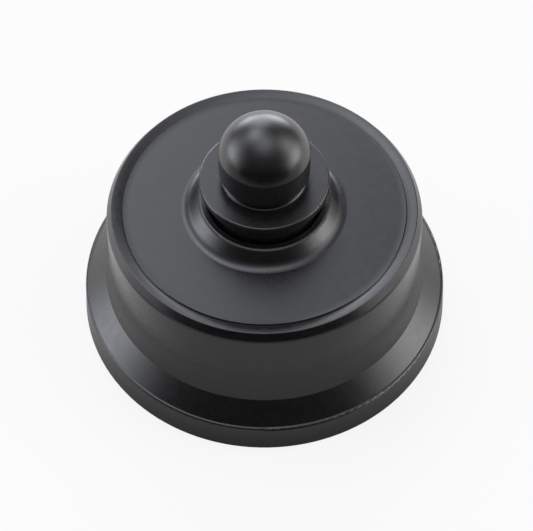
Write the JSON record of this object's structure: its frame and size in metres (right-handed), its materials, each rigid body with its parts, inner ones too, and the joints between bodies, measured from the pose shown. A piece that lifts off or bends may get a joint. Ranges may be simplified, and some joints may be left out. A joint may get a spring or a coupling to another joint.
{
  "type": "led dimmer switch",
  "caption": "Round surface-mounted rotary LED dimmer: turned satin black cover with a flared foot, grooved top and coved boss, and a domed push-and-turn knob.",
  "frame": {"origin": "centre of the back face, on the wall", "axes": "+Z out of the wall along the knob's axis; the grub screw is on the +Y side, the terminals on the -Y side"},
  "size_m": [0.055, 0.055, 0.0391],
  "materials": {
    "satin_black": "satin",
    "black_steel": "satin",
    "steel": "satin",
    "brass": "satin",
    "aluminium": "satin",
    "contact_metal": "satin",
    "copper_wire": "gloss",
    "base_moulding": "matt",
    "cap_moulding": "matt",
    "board": "satin",
    "control_moulding": "matt",
    "white_moulding": "matt",
    "carbon_track": "matt",
    "terminal_moulding": "matt",
    "ferrite": "matt",
    "film_box": "satin",
    "can_sleeve": "gloss",
    "fuse_ceramic": "satin",
    "chip_moulding": "matt",
    "trimmer_moulding": "satin"
  },
  "bodies": {
    "housing": {"dress_cover": "satin_black", "cover_grub_screw": "black_steel", "mounting_base": "base_moulding", "circuit_board": "board", "module_cap": "cap_moulding", "cap_screws": "steel", "threaded_bush": "brass", "bush_washer": "steel", "bush_nut": "brass", "pot_case": "control_moulding", "resistive_track": "carbon_track", "switch_case": "control_moulding", "switch_contacts": "contact_metal", "switch_spring": "steel", "terminal_block": "terminal_moulding", "terminal_inserts": "brass", "terminal_screws": "steel", "choke_core": "ferrite", "choke_winding": "copper_wire", "film_capacitor": "film_box", "electrolytic_capacitor": "can_sleeve", "fuse": "fuse_ceramic", "driver_chip": "chip_moulding", "level_trimmer": "trimmer_moulding", "power_transistors": "chip_moulding", "heat_spreader": "aluminium"},
    "push": {"switch_plunger": "white_moulding", "contact_bridge": "contact_metal"},
    "knob": {"knob": "satin_black", "knob_insert": "brass", "shaft": "aluminium"},
    "wiper": {"pot_rotor": "white_moulding", "wiper": "contact_metal"},
    "trimmer": {"trimmer_dial": "white_moulding"}
  },
  "joints": [
    {"name": "knob_push", "type": "slide", "parent": "housing", "child": "push", "axis": [0, 0, -1], "range_m": [0, 0.0016], "stiffness_N_per_m": 1000, "springref_m": -0.002, "deforming": ["switch_spring"]},
    {"name": "knob_turn", "type": "hinge", "parent": "push", "child": "knob", "pos_m": [0, 0, 0.0283], "axis": [0, 0, 1], "range_deg": [-150, 150]},
    {"name": "wiper_turn", "type": "hinge", "parent": "housing", "child": "wiper", "pos_m": [0, 0, 0.0164], "axis": [0, 0, 1], "range_deg": [-150, 150]},
    {"name": "level_turn", "type": "hinge", "parent": "housing", "child": "trimmer", "pos_m": [-0.01013, 0.0043, 0.011], "axis": [0, 0, 1], "range_deg": [-120, 120]}
  ],
  "couplings": [
    {"joint": "wiper_turn", "follows": "knob_turn", "ratio": 1}
  ]
}
